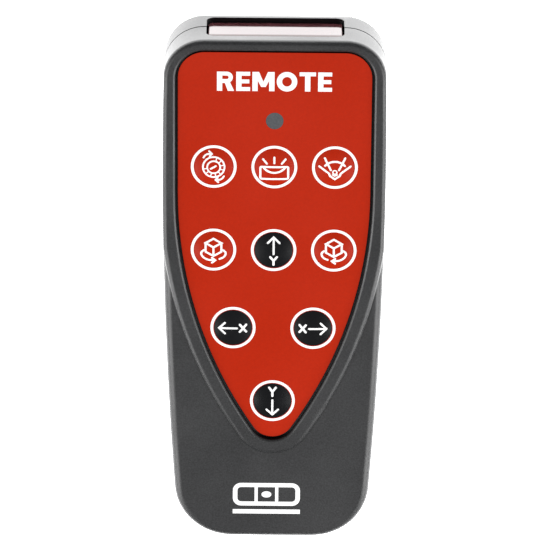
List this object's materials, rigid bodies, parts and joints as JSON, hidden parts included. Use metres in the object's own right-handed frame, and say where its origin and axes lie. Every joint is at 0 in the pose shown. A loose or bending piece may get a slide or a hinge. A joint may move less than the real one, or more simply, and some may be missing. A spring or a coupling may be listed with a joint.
{
  "type": "laser level remote control",
  "caption": "Slim hand-held infra-red remote with a shield-shaped red key panel in a dark casing, a dark red window in one end and a sliding battery door on its back.",
  "frame": {"origin": "centre of the flat back of the casing", "axes": "+Z out of the key face, +Y towards the end with the infra-red window, +X to the right when the keys are read with the window end up"},
  "size_m": [0.055, 0.1348, 0.023],
  "materials": {
    "casing": "matte, fine grain",
    "panel_red": "satin printed film",
    "key_red": "satin printed film",
    "key_black": "satin printed film",
    "window": "polished, dark red, passes infra-red",
    "status_grey": "translucent grey",
    "clear_plastic": "clear moulded",
    "board": "solder mask",
    "component_black": "moulded epoxy",
    "switch_black": "moulded",
    "plunger": "moulded",
    "tinned": "tinned",
    "plated": "nickel plated",
    "can": "drawn can",
    "sleeve": "printed sleeve",
    "spring_steel": "nickel plated wire",
    "screw_steel": "zinc plated",
    "emitter": "tinted epoxy"
  },
  "bodies": {
    "casing": {"front_shell": "casing", "back_shell": "casing", "ir_window": "window", "face_panel": "panel_red", "status_window": "status_grey", "light_pipe": "clear_plastic", "status_led": "clear_plastic", "circuit_board": "board", "switch_bodies": "switch_black", "switch_covers": "plated", "switch_terminals": "tinned", "control_chip": "component_black", "crystal": "can", "driver_transistor": "component_black", "capacitor": "sleeve", "chip_resistors": "component_black", "ir_emitters": "emitter", "battery_1": "sleeve", "battery_2": "sleeve", "battery_springs": "spring_steel", "link_contact": "plated", "contact_positive": "plated", "contact_negative": "plated", "case_screws": "screw_steel", "board_screws": "screw_steel"},
    "battery_door": {"battery_door": "casing"},
    "key_speed": {"key_speed": "key_red", "plunger_speed": "plunger"},
    "key_light": {"key_light": "key_red", "plunger_light": "plunger"},
    "key_scan": {"key_scan": "key_red", "plunger_scan": "plunger"},
    "key_turn_left": {"key_turn_left": "key_red", "plunger_turn_left": "plunger"},
    "key_y_up": {"key_y_up": "key_black", "plunger_y_up": "plunger"},
    "key_turn_right": {"key_turn_right": "key_red", "plunger_turn_right": "plunger"},
    "key_x_left": {"key_x_left": "key_black", "plunger_x_left": "plunger"},
    "key_x_right": {"key_x_right": "key_black", "plunger_x_right": "plunger"},
    "key_y_down": {"key_y_down": "key_black", "plunger_y_down": "plunger"}
  },
  "joints": [
    {"name": "battery_door_slide", "type": "slide", "parent": "casing", "child": "battery_door", "axis": [0, -1, 0], "range_m": [0, 0.06]},
    {"name": "key_speed_press", "type": "slide", "parent": "casing", "child": "key_speed", "axis": [0, 0, -1], "range_m": [0, 0.0003], "stiffness_N_per_m": 800},
    {"name": "key_light_press", "type": "slide", "parent": "casing", "child": "key_light", "axis": [0, 0, -1], "range_m": [0, 0.0003], "stiffness_N_per_m": 800},
    {"name": "key_scan_press", "type": "slide", "parent": "casing", "child": "key_scan", "axis": [0, 0, -1], "range_m": [0, 0.0003], "stiffness_N_per_m": 800},
    {"name": "key_turn_left_press", "type": "slide", "parent": "casing", "child": "key_turn_left", "axis": [0, 0, -1], "range_m": [0, 0.0003], "stiffness_N_per_m": 800},
    {"name": "key_y_up_press", "type": "slide", "parent": "casing", "child": "key_y_up", "axis": [0, 0, -1], "range_m": [0, 0.0003], "stiffness_N_per_m": 800},
    {"name": "key_turn_right_press", "type": "slide", "parent": "casing", "child": "key_turn_right", "axis": [0, 0, -1], "range_m": [0, 0.0003], "stiffness_N_per_m": 800},
    {"name": "key_x_left_press", "type": "slide", "parent": "casing", "child": "key_x_left", "axis": [0, 0, -1], "range_m": [0, 0.0003], "stiffness_N_per_m": 800},
    {"name": "key_x_right_press", "type": "slide", "parent": "casing", "child": "key_x_right", "axis": [0, 0, -1], "range_m": [0, 0.0003], "stiffness_N_per_m": 800},
    {"name": "key_y_down_press", "type": "slide", "parent": "casing", "child": "key_y_down", "axis": [0, 0, -1], "range_m": [0, 0.0003], "stiffness_N_per_m": 800}
  ]
}
